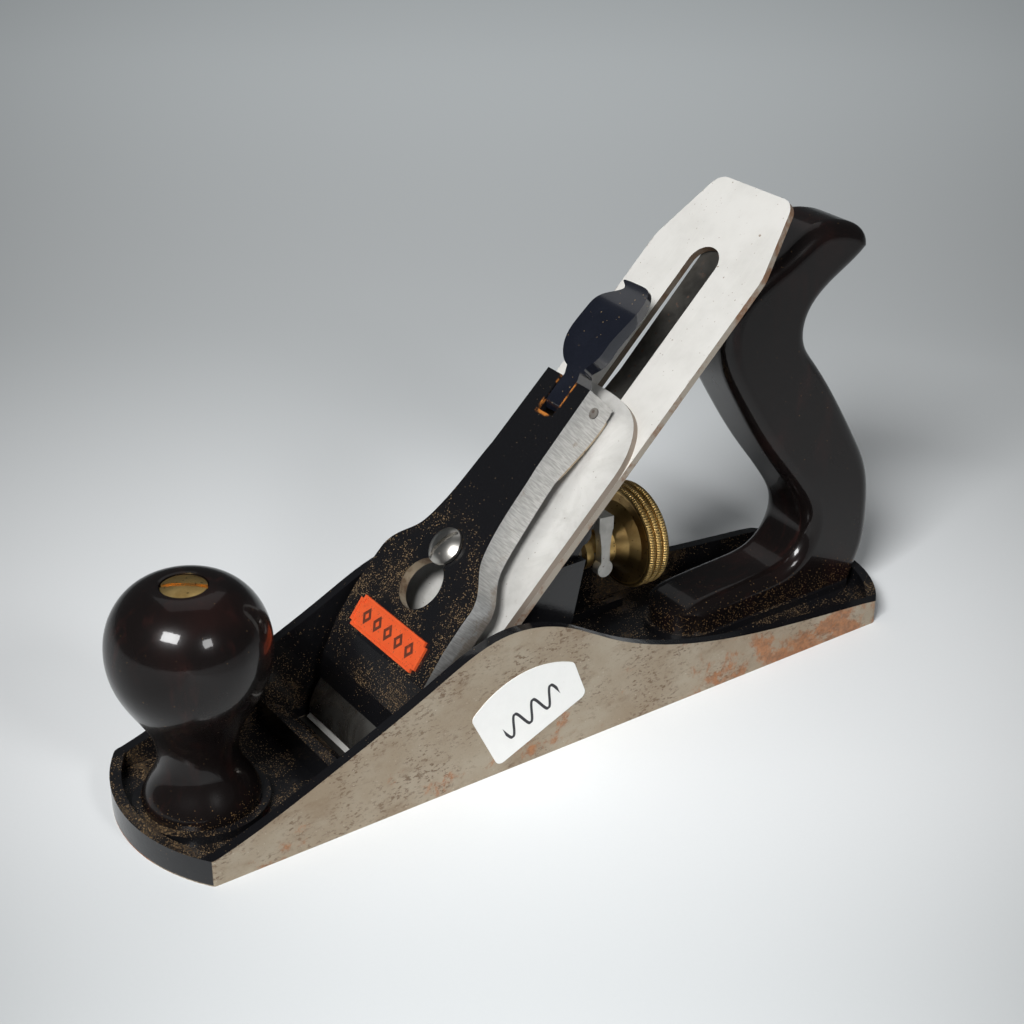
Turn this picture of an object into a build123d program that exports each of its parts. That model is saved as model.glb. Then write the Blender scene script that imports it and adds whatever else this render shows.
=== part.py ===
"""Bench plane of the Bailey pattern, size 3: cast body, adjustable frog, double iron, lever cap.

Frame: the sole lies on z = 0, +X runs from toe to heel, the left cheek is at -Y, millimetres.
"""
import os
from math import radians, sqrt, tan

from build123d import *

# ---------------------------------------------------------------- driving dimensions
length = 243.0  # toe to heel, over the rounded ends
sole_width = 56.5
toe_bulge = 9.75  # depth of the rounded toe in front of its corners
heel_bulge = 13.0
sole_t = 3.4
wall_t = 3.0
rim_z = 7.5  # height of the low wall round toe and heel
cheek_peak_z = 41.4

bevel_angle = 25.0
iron_width = 44.4
iron_t = 2.0
iron_length = 188.0
iron_edge_s = -0.4  # cutting edge, measured up the bed from the sole
cap_iron_t = 2.0

knob_radius = 20.6
tote_t = 22.0
depth_nut_radius = 15.1

toe_x = -length / 2
heel_x = length / 2
toe_corner_x = toe_x + toe_bulge
heel_corner_x = heel_x - heel_bulge
half_width = sole_width / 2
inner_half = half_width - wall_t
knob_x = toe_x + 20.8
bed_foot_x = toe_x + 65.1  # where the bed plane meets the sole
iron_half = iron_width / 2
iron_top_s = iron_edge_s + iron_length

# stations up the bed, s, and heights above it, n
lever_screw_s = 60.1
yoke_tip_s = 80.0
cap_screw_s = 93.0
disc_s = 106.0
lateral_pivot_s = 115.0
frog_top_s = 120.0
cap_iron_top_s = 119.3
slot_half = 5.4  # long slot of the iron
lip_s = 11.0  # lower edge of the lever cap
lip_n = 6.7
cheek_end_s = 115.0  # upper end of the lever cap
face_n = 16.8
cam_pin_s, cam_pin_n = 111.0, 11.0
cam_hub_radius = 5.0
notch_half = 3.2

# frog, yoke and depth screw, in x and z
pad_top_z = 9.0
frog_foot_z = pad_top_z + 0.05
foot_t = 5.0
frog_rear_x = bed_foot_x + 44.0
frog_half = 20.0
plate_t = 7.0
stud_z = 40.2
stud_radius = 3.0
groove_x = toe_x + 142.0
yoke_pin_s, yoke_pin_n = 84.0, -11.0
adjust_z = 13.0
frog_screw_x = bed_foot_x + 25.0
frog_screw_y = 12.5

# handles
seat_z = 5.6
boss_radius = 17.5
tote_front_x = toe_x + 168.7
tote_bolt_top = (toe_x + 194.8, 113.0)
tote_bolt_foot = (toe_x + 232.0, 4.4)
seat_half = 10.5  # half width of the tote's seat, inside its rim
tote_rounding = 4.8  # radius of the tote's long edges

fit = 0.05  # radial clearance of running pins and threads
root2 = sqrt(0.5)

bed = Plane(origin=(bed_foot_x, 0, 0), x_dir=(1, 0, 1), z_dir=(-1, 0, 1))
bed_side = Plane(origin=(bed_foot_x, 0, 0), x_dir=(1, 0, 1), z_dir=(0, -1, 0))


def bed_point(s, n):
    """World x and z of the point s up the bed and n above it."""
    return bed_foot_x + (s - n) * root2, (s + n) * root2


def across(x, z):
    """Plane across the plane's width, looking along +Y, centred on (x, z)."""
    return Plane(origin=(x, 0, z), x_dir=(1, 0, 0), z_dir=(0, -1, 0))


def along(x, z, y=0.0):
    """Plane square to the plane's length, facing the heel."""
    return Plane(origin=(x, y, z), x_dir=(0, 1, 0), z_dir=(1, 0, 0))


def save(builder, label):
    builder.part.label = label
    export_step(builder.part, f"parts/{label}.step")


os.makedirs("parts", exist_ok=True)

# ---------------------------------------------------------------- body casting
cheek_contour = [
    (toe_corner_x + 2.2, 8.0),
    (toe_x + 45.0, 20.6),
    (toe_x + 74.0, 33.6),
    (toe_x + 95.0, cheek_peak_z),
    (toe_x + 113.0, 38.2),
    (toe_x + 130.0, 28.6),
    (toe_x + 150.0, 20.0),
    (toe_x + 178.0, 13.4),
    (heel_corner_x - 5.0, 8.2),
]
mouth_front_x = bed_foot_x - 5.2
mouth_half = 24.2
ramp_gap = 1.3  # the casting's ramp stays this far behind the bed plane

with BuildSketch() as sole_outline:
    with BuildLine():
        Line((toe_corner_x, -half_width), (heel_corner_x, -half_width))
        ThreePointArc((heel_corner_x, -half_width), (heel_x, 0), (heel_corner_x, half_width))
        Line((heel_corner_x, half_width), (toe_corner_x, half_width))
        ThreePointArc((toe_corner_x, half_width), (toe_x, 0), (toe_corner_x, -half_width))
    make_face()

with BuildSketch() as tote_footprint:
    with BuildLine():
        tote_heel_x = heel_x - 4.6
        tote_toe_r = seat_half
        Line((tote_front_x + tote_toe_r, -tote_toe_r), (tote_heel_x - 5, -tote_toe_r))
        ThreePointArc((tote_heel_x - 5, -tote_toe_r), (tote_heel_x, 0), (tote_heel_x - 5, tote_toe_r))
        Line((tote_heel_x - 5, tote_toe_r), (tote_front_x + tote_toe_r, tote_toe_r))
        ThreePointArc(
            (tote_front_x + tote_toe_r, tote_toe_r),
            (tote_front_x, 0),
            (tote_front_x + tote_toe_r, -tote_toe_r),
        )
    make_face()

with BuildPart() as body_casting:
    # the wall follows the sole's outline, cut down to the curved side view
    with BuildSketch():
        add(sole_outline.sketch)
        offset(sole_outline.sketch, amount=-wall_t, mode=Mode.SUBTRACT)
    extrude(amount=cheek_peak_z + 5)
    with BuildSketch(Plane.XZ):
        with BuildLine():
            Polyline((toe_x - 5, -1), (heel_x + 5, -1), (heel_x + 5, rim_z), (heel_corner_x, rim_z))
            Line((heel_corner_x, rim_z), cheek_contour[-1])
            Spline(*cheek_contour)
            Line(cheek_contour[0], (toe_corner_x, rim_z))
            Polyline((toe_corner_x, rim_z), (toe_x - 5, rim_z), (toe_x - 5, -1))
        make_face()
    extrude(amount=sole_width, both=True, mode=Mode.INTERSECT)
    with BuildSketch():
        add(sole_outline.sketch)
    extrude(amount=sole_t)
    # knob boss and tote seat
    with BuildSketch(Plane.XY.offset(sole_t - 1)):
        with Locations((knob_x, 0)):
            Circle(boss_radius)
    extrude(amount=seat_z - sole_t + 1)
    with BuildSketch(Plane.XY.offset(sole_t - 1)):
        add(tote_footprint.sketch)
        offset(tote_footprint.sketch, amount=1.5)
    extrude(amount=seat_z - sole_t + 1)
    # cross rib in front of the mouth, and the bridge behind it
    with BuildSketch(Plane.XY.offset(sole_t - 1)):
        with Locations((toe_x + 51.5, 0)):
            Rectangle(3.2, 2 * inner_half + 1)
    extrude(amount=9.0)
    with BuildSketch(Plane.XY.offset(sole_t - 1)):
        with Locations((bed_foot_x + 10.0, 0)):
            Rectangle(12.0, 2 * inner_half + 1)
    extrude(amount=3.6)
    # two machined pads for the frog, with the threaded lug between them
    with BuildSketch(Plane.XY.offset(sole_t - 1)):
        with Locations((bed_foot_x + 27.5, frog_screw_y), (bed_foot_x + 27.5, -frog_screw_y)):
            Rectangle(33.0, 13.0)
    extrude(amount=pad_top_z - sole_t + 1)
    with BuildSketch(Plane.XY.offset(sole_t - 1)):
        with Locations((bed_foot_x + 29.0, 0)):
            Rectangle(11.0, 8.0)
    extrude(amount=adjust_z + 4.0 - sole_t + 1)
    # ribs from the pads back to the tote seat
    with BuildSketch(Plane.XY.offset(sole_t - 1)):
        with Locations((toe_x + 140.0, 19.0), (toe_x + 140.0, -19.0)):
            Rectangle(60.0, 2.4)
    extrude(amount=3.6)
    # mouth, with its rear face sloped like the bed
    with BuildSketch(Plane.XZ):
        with BuildLine():
            Polyline(
                (mouth_front_x, -1),
                (bed_foot_x + ramp_gap - 1, -1),
                (bed_foot_x + ramp_gap + 8, 8),
                (mouth_front_x, 8),
                close=True,
            )
        make_face()
    extrude(amount=mouth_half, both=True, mode=Mode.SUBTRACT)
    # threaded holes: knob bolt, tote bolt, frog screws, frog adjusting screw
    with Locations((knob_x, 0, seat_z)):
        Hole(radius=2.7, depth=seat_z - 1.0)
    with BuildSketch(Plane(origin=(tote_bolt_foot[0], 0, tote_bolt_foot[1]), z_dir=(
            tote_bolt_top[0] - tote_bolt_foot[0], 0, tote_bolt_top[1] - tote_bolt_foot[1])).offset(-2.6)):
        Circle(2.7)
    extrude(amount=12, mode=Mode.SUBTRACT)
    with Locations((frog_screw_x, frog_screw_y, pad_top_z), (frog_screw_x, -frog_screw_y, pad_top_z)):
        Hole(radius=2.5 + fit, depth=pad_top_z - 1.2)
    with BuildSketch(along(bed_foot_x + 20, adjust_z)):
        Circle(2.4 + fit)
    extrude(amount=20, mode=Mode.SUBTRACT)
    corner_edges = body_casting.edges().filter_by(Axis.Z).filter_by(
        lambda e: abs(abs(e.center().Y) - half_width) < 0.01
    )
    fillet(corner_edges, radius=1.6)
save(body_casting, "body_casting")

# ---------------------------------------------------------------- front knob
knob_ball_z = 50.4
knob_top_z = 67.3
nut_recess_r = 6.0
with BuildPart() as front_knob:
    with BuildSketch(across(knob_x, 0)):
        with BuildLine():
            Polyline((2.9, seat_z), (15.0, seat_z), (15.2, seat_z + 1.6))
            Spline(
                (15.2, seat_z + 1.6),
                (14.4, 9.6),
                (11.2, 15.6),
                (10.4, 22.5),
                (13.4, 30.6),
                (19.2, 41.5),
                (knob_radius, knob_ball_z),
                (18.2, 59.6),
                (12.6, 65.6),
                (nut_recess_r + 0.6, knob_top_z),
            )
            Polyline(
                (nut_recess_r + 0.6, knob_top_z),
                (nut_recess_r, knob_top_z - 0.2),
                (nut_recess_r, knob_top_z - 3.4),
                (4.4, knob_top_z - 3.4),
                (4.4, knob_top_z - 20.0),
                (2.9, knob_top_z - 20.0),
                (2.9, seat_z),
            )
        make_face()
    revolve(axis=Axis((knob_x, 0, 0), (0, 0, 1)))
save(front_knob, "front_knob")

with BuildPart() as knob_bolt:
    with BuildSketch(Plane.XY.offset(1.2)):
        with Locations((knob_x, 0)):
            Circle(2.65)
    extrude(amount=knob_top_z - 10.0)
save(knob_bolt, "knob_bolt")

with BuildPart() as knob_nut:
    with BuildSketch(across(knob_x, 0)):
        with BuildLine():
            Polyline((0, knob_top_z - 8.5), (2.75, knob_top_z - 8.5), (2.75, knob_top_z - 17.0))
            Polyline((2.75, knob_top_z - 17.0), (4.2, knob_top_z - 17.0), (4.2, knob_top_z - 3.2))
            Polyline((4.2, knob_top_z - 3.2), (5.7, knob_top_z - 3.2), (5.7, knob_top_z - 0.5))
            ThreePointArc((5.7, knob_top_z - 0.5), (3.0, knob_top_z - 0.1), (0, knob_top_z + 0.1))
            Line((0, knob_top_z + 0.1), (0, knob_top_z - 8.5))
        make_face()
    revolve(axis=Axis((knob_x, 0, 0), (0, 0, 1)))
    with BuildSketch(Plane.XY.offset(knob_top_z + 1)):
        with Locations((knob_x, 0)):
            Rectangle(12, 1.3, rotation=-35)
    extrude(amount=-2.5, mode=Mode.SUBTRACT)
save(knob_nut, "knob_nut")

# ---------------------------------------------------------------- tote (rear handle)
tote_plane = Plane(
    origin=(tote_bolt_foot[0], 0, tote_bolt_foot[1]),
    z_dir=(tote_bolt_top[0] - tote_bolt_foot[0], 0, tote_bolt_top[1] - tote_bolt_foot[1]),
)
tote_bolt_length = sqrt(
    (tote_bolt_top[0] - tote_bolt_foot[0]) ** 2 + (tote_bolt_top[1] - tote_bolt_foot[1]) ** 2
)
with BuildPart() as tote:
    with BuildSketch(Plane.XZ):
        with BuildLine():
            rear_foot = (heel_x - 4.6, seat_z)
            front_foot = (tote_front_x, seat_z)
            # back of the grip, from the foot up to the horn
            rear = Spline(
                rear_foot,
                (heel_x - 3.4, 8.6),
                (heel_x - 1.0, 15.0),
                (heel_x - 0.1, 26.0),
                (toe_x + 240.6, 42.0),
                (toe_x + 234.4, 54.0),
                (toe_x + 225.6, 68.0),
                (toe_x + 215.6, 81.8),
                (toe_x + 210.6, 90.0),
                (toe_x + 211.2, 97.0),
                (toe_x + 216.8, 103.4),
                (toe_x + 226.6, 109.4),
                (toe_x + 231.8, 113.4),
            )
            # horn, crest and the sloping front of the top
            Spline(
                (toe_x + 231.8, 113.4),
                (toe_x + 230.8, 117.6),
                (toe_x + 223.0, 122.0),
                (toe_x + 213.0, 122.8),
                (toe_x + 203.0, 117.8),
                (toe_x + 182.0, 103.6),
                (toe_x + 180.4, 93.0),
                (toe_x + 187.5, 76.0),
                (toe_x + 201.0, 55.4),
                (toe_x + 213.0, 39.6),
                (toe_x + 217.6, 28.6),
                (toe_x + 213.0, 19.2),
                (toe_x + 200.0, 15.8),
                (toe_x + 182.0, 14.8),
                (tote_front_x + 4.0, 12.6),
                (tote_front_x + 0.4, 9.0),
                front_foot,
            )
            Line(front_foot, rear_foot)
        make_face()
    extrude(amount=tote_t / 2, both=True)
    long_edges = tote.edges().filter_by(
        lambda e: abs(abs(e.center().Y) - tote_t / 2) < 0.01 and e.center().Z > seat_z + 0.5
    )
    fillet(long_edges, radius=tote_rounding)
    # rounded nose, seen from above
    with BuildSketch(Plane.XY.offset(seat_z)):
        with BuildLine():
            nose_x = tote_front_x + tote_t / 2
            Polyline((nose_x, -tote_t / 2), (heel_x, -tote_t / 2), (heel_x, tote_t / 2), (nose_x, tote_t / 2))
            ThreePointArc((nose_x, tote_t / 2), (tote_front_x, 0), (nose_x, -tote_t / 2))
        make_face()
    extrude(amount=120, mode=Mode.INTERSECT)
    # bolt hole and the recess for its nut
    with BuildSketch(tote_plane.offset(-4)):
        Circle(2.9)
    extrude(amount=tote_bolt_length + 20, mode=Mode.SUBTRACT)
    with BuildSketch(tote_plane.offset(tote_bolt_length - 6)):
        Circle(6.0)
    extrude(amount=20, mode=Mode.SUBTRACT)
save(tote, "tote")

with BuildPart() as tote_bolt:
    with BuildSketch(tote_plane.offset(-2.2)):
        Circle(2.65)
    extrude(amount=tote_bolt_length - 4.5)
save(tote_bolt, "tote_bolt")

with BuildPart() as tote_nut:
    with BuildSketch(tote_plane.offset(tote_bolt_length - 5.9)):
        Circle(5.7)
    extrude(amount=3.0)
    with BuildSketch(tote_plane.offset(tote_bolt_length - 5.9)):
        Circle(2.65)
    extrude(amount=1.2, mode=Mode.SUBTRACT)
    with BuildSketch(tote_plane.offset(tote_bolt_length - 2.9)):
        Rectangle(12, 1.3)
    extrude(amount=-1.3, mode=Mode.SUBTRACT)
save(tote_nut, "tote_nut")

# ---------------------------------------------------------------- frog
yoke_pin_x, yoke_pin_z = bed_point(yoke_pin_s, yoke_pin_n)
with BuildPart() as frog:
    # bed plate, narrowing towards the top
    with BuildSketch(bed):
        with BuildLine():
            Polyline(
                (10, -frog_half),
                (66, -frog_half),
                (frog_top_s - 8, -11.0),
                (frog_top_s, -8.0),
                (frog_top_s, 8.0),
                (frog_top_s - 8, 11.0),
                (66, frog_half),
                (10, frog_half),
                close=True,
            )
        make_face()
    extrude(amount=-plate_t)
    # foot
    with BuildSketch(Plane.XY.offset(frog_foot_z)):
        with Locations(((bed_foot_x + 12 + frog_rear_x) / 2, 0)):
            Rectangle(frog_rear_x - bed_foot_x - 12, 2 * frog_half)
    extrude(amount=foot_t)
    # side webs and the rear wall that carries the clip
    for web_y in (-frog_half + 1.75, frog_half - 1.75):
        with BuildSketch(Plane(origin=(0, web_y, 0), x_dir=(1, 0, 0), z_dir=(0, -1, 0))):
            with BuildLine():
                Polyline(
                    (bed_foot_x + 14, frog_foot_z),
                    (frog_rear_x, frog_foot_z),
                    (bed_foot_x + 52, 20),
                    (bed_foot_x + 57.3, 33),
                    (bed_foot_x + 61.3, 50.3),
                    (bed_foot_x + 50, 50.3),
                    close=True,
                )
            make_face()
        extrude(amount=1.75, both=True)
    with BuildSketch(Plane.XY.offset(frog_foot_z)):
        with Locations((frog_rear_x - 2, 0)):
            Rectangle(4, 2 * frog_half)
    extrude(amount=17)
    # boss for the depth stud
    with BuildSketch(along(bed_foot_x + stud_z + 4, stud_z)):
        Circle(6.0)
    extrude(amount=14)
    # ears for the yoke pin
    for ear_y in (-6.3, 6.3):
        with BuildSketch(Plane(origin=bed_side.origin + Vector(0, ear_y, 0), x_dir=(1, 0, 1), z_dir=(0, -1, 0))):
            with Locations((yoke_pin_s, yoke_pin_n / 2 - 3.5)):
                Rectangle(9, 11.5)
            with Locations((yoke_pin_s, yoke_pin_n - 3)):
                Circle(3.0)
        extrude(amount=1.6, both=True)
    # nothing reaches below the foot or above the bed
    with BuildSketch(Plane.XY.offset(frog_foot_z)):
        Rectangle(400, 200)
    extrude(amount=-60, mode=Mode.SUBTRACT)
    with BuildSketch(bed):
        Rectangle(400, 200)
    extrude(amount=30, mode=Mode.SUBTRACT)
    # channel over the threaded lug
    with BuildSketch(along(bed_foot_x + 8, frog_foot_z)):
        Rectangle(9.4, 2 * (adjust_z + 4.6 - frog_foot_z))
    extrude(amount=frog_rear_x - bed_foot_x - 11, mode=Mode.SUBTRACT)
    with BuildSketch(along(frog_rear_x - 8, adjust_z)):
        Circle(2.9)
    extrude(amount=12, mode=Mode.SUBTRACT)
    # slots and wells for the two frog screws
    for side_y in (-frog_screw_y, frog_screw_y):
        with BuildSketch(Plane.XY.offset(frog_foot_z - 1)):
            with Locations((frog_screw_x, side_y)):
                SlotCenterToCenter(4.0, 2 * 2.9)
        extrude(amount=foot_t + 2, mode=Mode.SUBTRACT)
        with BuildSketch(Plane.XY.offset(frog_foot_z + foot_t)):
            with Locations((frog_screw_x, side_y)):
                SlotCenterToCenter(4.0, 2 * 5.6)
        extrude(amount=60, mode=Mode.SUBTRACT)
    # lever cap screw, window of the yoke, well of the cap iron screw, rest of the lateral lever
    with BuildSketch(bed):
        with Locations((lever_screw_s, 0)):
            Circle(3.0)
        with Locations((yoke_tip_s + 1.5, 0)):
            Rectangle(13.0, 8.8)
        with Locations((cap_screw_s, 0)):
            SlotCenterToCenter(5.4, 2 * 8.2)
        with Locations((lateral_pivot_s, 0)):
            Circle(2.2)
    extrude(amount=-plate_t - 6, mode=Mode.SUBTRACT)
    with BuildSketch(bed):
        with Locations((frog_top_s - 8, 0)):
            Rectangle(20, 60)
    extrude(amount=-2.6, mode=Mode.SUBTRACT)
    # holes of the yoke pin, stud, clip screw
    with BuildSketch(across(yoke_pin_x, yoke_pin_z)):
        Circle(1.5)
    extrude(amount=30, both=True, mode=Mode.SUBTRACT)
    with BuildSketch(along(bed_foot_x + stud_z + 9, stud_z)):
        Circle(stud_radius)
    extrude(amount=20, mode=Mode.SUBTRACT)
    with BuildSketch(along(frog_rear_x - 7, 22.0)):
        Circle(1.5)
    extrude(amount=10, mode=Mode.SUBTRACT)
save(frog, "frog")

with BuildPart() as frog_screws:
    for side_y in (-frog_screw_y, frog_screw_y):
        head_z = frog_foot_z + foot_t + 1.3
        with BuildSketch(Plane.XY.offset(1.8)):
            with Locations((frog_screw_x, side_y)):
                Circle(2.5)
        extrude(amount=head_z - 1.8)
        with BuildSketch(Plane.XY.offset(head_z)):
            with Locations((frog_screw_x, side_y)):
                Circle(4.2)
        extrude(amount=2.6)
        with BuildSketch(Plane.XY.offset(head_z + 2.6)):
            with Locations((frog_screw_x, side_y)):
                Rectangle(9, 1.2)
        extrude(amount=-1.2, mode=Mode.SUBTRACT)
save(frog_screws, "frog_screws")

with BuildPart() as frog_washers:
    for side_y in (-frog_screw_y, frog_screw_y):
        with BuildSketch(Plane.XY.offset(frog_foot_z + foot_t + 0.1)):
            with Locations((frog_screw_x, side_y)):
                Circle(5.0)
                Circle(2.5 + fit, mode=Mode.SUBTRACT)
        extrude(amount=1.2)
save(frog_washers, "frog_washers")

# clip on the back of the frog, its screw, and the adjusting screw that it holds
clip_t = 1.2
with BuildPart() as frog_clip:
    with BuildSketch(along(frog_rear_x, 18.0)):
        Rectangle(11, 15.6)
        with Locations((0, 4.0)):
            Circle(1.5, mode=Mode.SUBTRACT)
        with Locations((0, adjust_z - 18.0)):
            Circle(1.75, mode=Mode.SUBTRACT)
        with Locations((0, adjust_z - 18.0 - 4)):
            Rectangle(3.5, 8, mode=Mode.SUBTRACT)
    extrude(amount=clip_t)
save(frog_clip, "frog_clip")

with BuildPart() as frog_clip_screw:
    with BuildSketch(along(frog_rear_x - 6, 22.0)):
        Circle(1.5)
    extrude(amount=6 + clip_t)
    with BuildSketch(along(frog_rear_x + clip_t, 22.0)):
        Circle(2.9)
    extrude(amount=1.7)
    with BuildSketch(along(frog_rear_x + clip_t + 1.7, 22.0)):
        Rectangle(7, 0.9)
    extrude(amount=-0.8, mode=Mode.SUBTRACT)
save(frog_clip_screw, "frog_clip_screw")

with BuildPart() as frog_adjusting_screw:
    with BuildSketch(along(bed_foot_x + 22, adjust_z)):
        Circle(2.4)
    extrude(amount=frog_rear_x - 0.1 - bed_foot_x - 22)
    with BuildSketch(along(frog_rear_x - 0.2, adjust_z)):
        Circle(1.7)
    extrude(amount=clip_t + 0.4)
    with BuildSketch(along(frog_rear_x + clip_t + 0.1, adjust_z)):
        Circle(3.6)
    extrude(amount=3.2)
    with BuildSketch(along(frog_rear_x + clip_t + 3.3, adjust_z)):
        Rectangle(1.0, 9)
    extrude(amount=-1.4, mode=Mode.SUBTRACT)
save(frog_adjusting_screw, "frog_adjusting_screw")

# ---------------------------------------------------------------- depth adjustment
with BuildPart() as depth_stud:
    with BuildSketch(along(bed_foot_x + stud_z + 9, stud_z)):
        Circle(stud_radius)
    extrude(amount=toe_x + 162.0 - (bed_foot_x + stud_z + 9))
    chamfer(depth_stud.faces().sort_by(Axis.X)[-1].edges(), 0.6)
save(depth_stud, "depth_stud")

hub_radius = 5.6
groove_half = 1.65
with BuildPart() as depth_nut:
    with BuildSketch(Plane(origin=(groove_x, 0, stud_z), x_dir=(1, 0, 0), z_dir=(0, -1, 0))):
        with BuildLine():
            Polyline(
                (-4.0, stud_radius + fit),
                (-4.0, hub_radius),
                (-groove_half, hub_radius),
                (-groove_half, 4.1),
                (groove_half, 4.1),
                (groove_half, hub_radius),
                (5.6, hub_radius + 0.4),
                (8.6, hub_radius + 2.6),
                (10.8, hub_radius + 5.2),
                (10.8, depth_nut_radius - 0.8),
            )
            # three rounded, knurled ridges
            for ridge in range(3):
                ridge_x = 10.8 + 2.3 * ridge
                ThreePointArc(
                    (ridge_x, depth_nut_radius - 0.8),
                    (ridge_x + 1.15, depth_nut_radius),
                    (ridge_x + 2.3, depth_nut_radius - 0.8),
                )
            Polyline(
                (17.7, depth_nut_radius - 0.8),
                (17.7, 9.0),
                (14.8, 7.0),
                (14.8, stud_radius + fit),
                (-4.0, stud_radius + fit),
            )
        make_face()
    revolve(axis=Axis((0, 0, stud_z), (1, 0, 0)))
save(depth_nut, "depth_nut")

pad_half_x = 1.0
with BuildPart() as yoke:
    # boss on the pin
    with BuildSketch(across(yoke_pin_x, yoke_pin_z)):
        Circle(3.6)
    extrude(amount=4.4, both=True)
    # arm through the frog into the cap iron
    with BuildSketch(bed_side):
        with BuildLine():
            Polyline(
                (yoke_pin_s - 3.4, yoke_pin_n),
                (yoke_pin_s + 3.4, yoke_pin_n),
                (yoke_tip_s + 1.7, -3.0),
                (yoke_tip_s + 1.3, 4.2),
                (yoke_tip_s - 1.3, 4.2),
                (yoke_tip_s - 1.7, -3.0),
                close=True,
            )
        make_face()
    extrude(amount=3.4, both=True)
    # bridge over the nut's hub and the two prongs
    bridge_top = yoke_pin_z + 3.0
    bridge_low = stud_z + hub_radius + 3.2
    with BuildSketch(Plane.XZ):
        with BuildLine():
            Polyline(
                (yoke_pin_x, bridge_low),
                (groove_x + 2.4, bridge_low),
                (groove_x + 2.4, bridge_top - 1.5),
                (groove_x + 1.0, bridge_top),
                (yoke_pin_x, bridge_top),
                close=True,
            )
        make_face()
    extrude(amount=4.4, both=True)
    with BuildSketch(Plane.XZ):
        with BuildLine():
            Polyline(
                (groove_x - 2.4, bridge_low),
                (groove_x + 2.4, bridge_low),
                (groove_x + 2.4, bridge_top - 1.5),
                (groove_x - 2.4, bridge_top - 1.0),
                close=True,
            )
        make_face()
    extrude(amount=8.6, both=True)
    for prong_y in (-7.3, 7.3):
        with BuildSketch(Plane(origin=(groove_x, prong_y, 0), x_dir=(1, 0, 0), z_dir=(0, -1, 0))):
            with BuildLine():
                Polyline((-2.2, bridge_low + 0.5), (-1.5, stud_z + 4), (-1.4, stud_z - 1))
                Polyline((-1.4, stud_z - 1), (1.4, stud_z - 1), (1.5, stud_z + 4), (2.2, bridge_low + 0.5))
                Line((2.2, bridge_low + 0.5), (-2.2, bridge_low + 0.5))
            make_face()
            with Locations((0, stud_z - 3)):
                Circle(2.5)
        extrude(amount=1.3, both=True)
    # thin pads that run in the groove
    for pad_y in (-5.2, 5.2):
        with BuildSketch(Plane(origin=(groove_x, pad_y, stud_z - 1.2), x_dir=(1, 0, 0), z_dir=(0, -1, 0))):
            SlotOverall(3.2, 2 * pad_half_x, rotation=90)
        extrude(amount=0.9, both=True)
    with BuildSketch(across(yoke_pin_x, yoke_pin_z)):
        Circle(1.5 + fit)
    extrude(amount=20, both=True, mode=Mode.SUBTRACT)
save(yoke, "yoke")

with BuildPart() as yoke_pin:
    with BuildSketch(across(yoke_pin_x, yoke_pin_z)):
        Circle(1.5)
    extrude(amount=7.9, both=True)
save(yoke_pin, "yoke_pin")

# ---------------------------------------------------------------- lateral adjustment
lateral_t = 1.6
lateral_n = -0.7
with BuildPart() as lateral_lever:
    with BuildSketch(bed.offset(lateral_n)):
        with Locations((lateral_pivot_s, 0)):
            Circle(6.0)
        with Locations((disc_s, 0)):
            Circle(3.6)
        with Locations(((disc_s + lateral_pivot_s) / 2, 0)):
            Rectangle(lateral_pivot_s - disc_s, 7.2)
        with BuildLine():
            Polyline(
                (lateral_pivot_s, -5.6),
                (lateral_pivot_s + 12, -4.6),
                (172.0, -5.4),
                (172.0, 5.4),
                (lateral_pivot_s + 12, 4.6),
                (lateral_pivot_s, 5.6),
                close=True,
            )
        make_face()
    extrude(amount=-lateral_t)
    # thumb tab, turned down at the end
    with BuildSketch(bed_side):
        with BuildLine():
            Polyline(
                (169.0, lateral_n - lateral_t + 0.2),
                (172.0, lateral_n - 0.4),
                (173.6, lateral_n - 1.6),
                (173.6, -6.6),
                (172.0, -6.6),
                (172.0, lateral_n - lateral_t - 0.3),
                close=True,
            )
        make_face()
    extrude(amount=6.6, both=True)
    # stud that carries the roller
    with BuildSketch(bed.offset(lateral_n - 0.5)):
        with Locations((disc_s, 0)):
            Circle(1.7)
    extrude(amount=2.4)
    with BuildSketch(bed.offset(2)):
        with Locations((lateral_pivot_s, 0)):
            Circle(2.2 + fit)
    extrude(amount=-8, mode=Mode.SUBTRACT)
save(lateral_lever, "lateral_lever")

with BuildPart() as lateral_disc:
    with BuildSketch(bed.offset(lateral_n + 0.1)):
        with Locations((disc_s, 0)):
            Circle(4.3)
            Circle(1.7 + fit, mode=Mode.SUBTRACT)
    extrude(amount=1.7)
save(lateral_disc, "lateral_disc")

with BuildPart() as lateral_rivet:
    with BuildSketch(bed.offset(-plate_t)):
        with Locations((lateral_pivot_s, 0)):
            Circle(2.2)
    extrude(amount=plate_t + lateral_n + 0.05)
    with BuildSketch(bed.offset(lateral_n + 0.05)):
        with Locations((lateral_pivot_s, 0)):
            Circle(3.8)
    extrude(amount=0.4)
save(lateral_rivet, "lateral_rivet")

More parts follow.
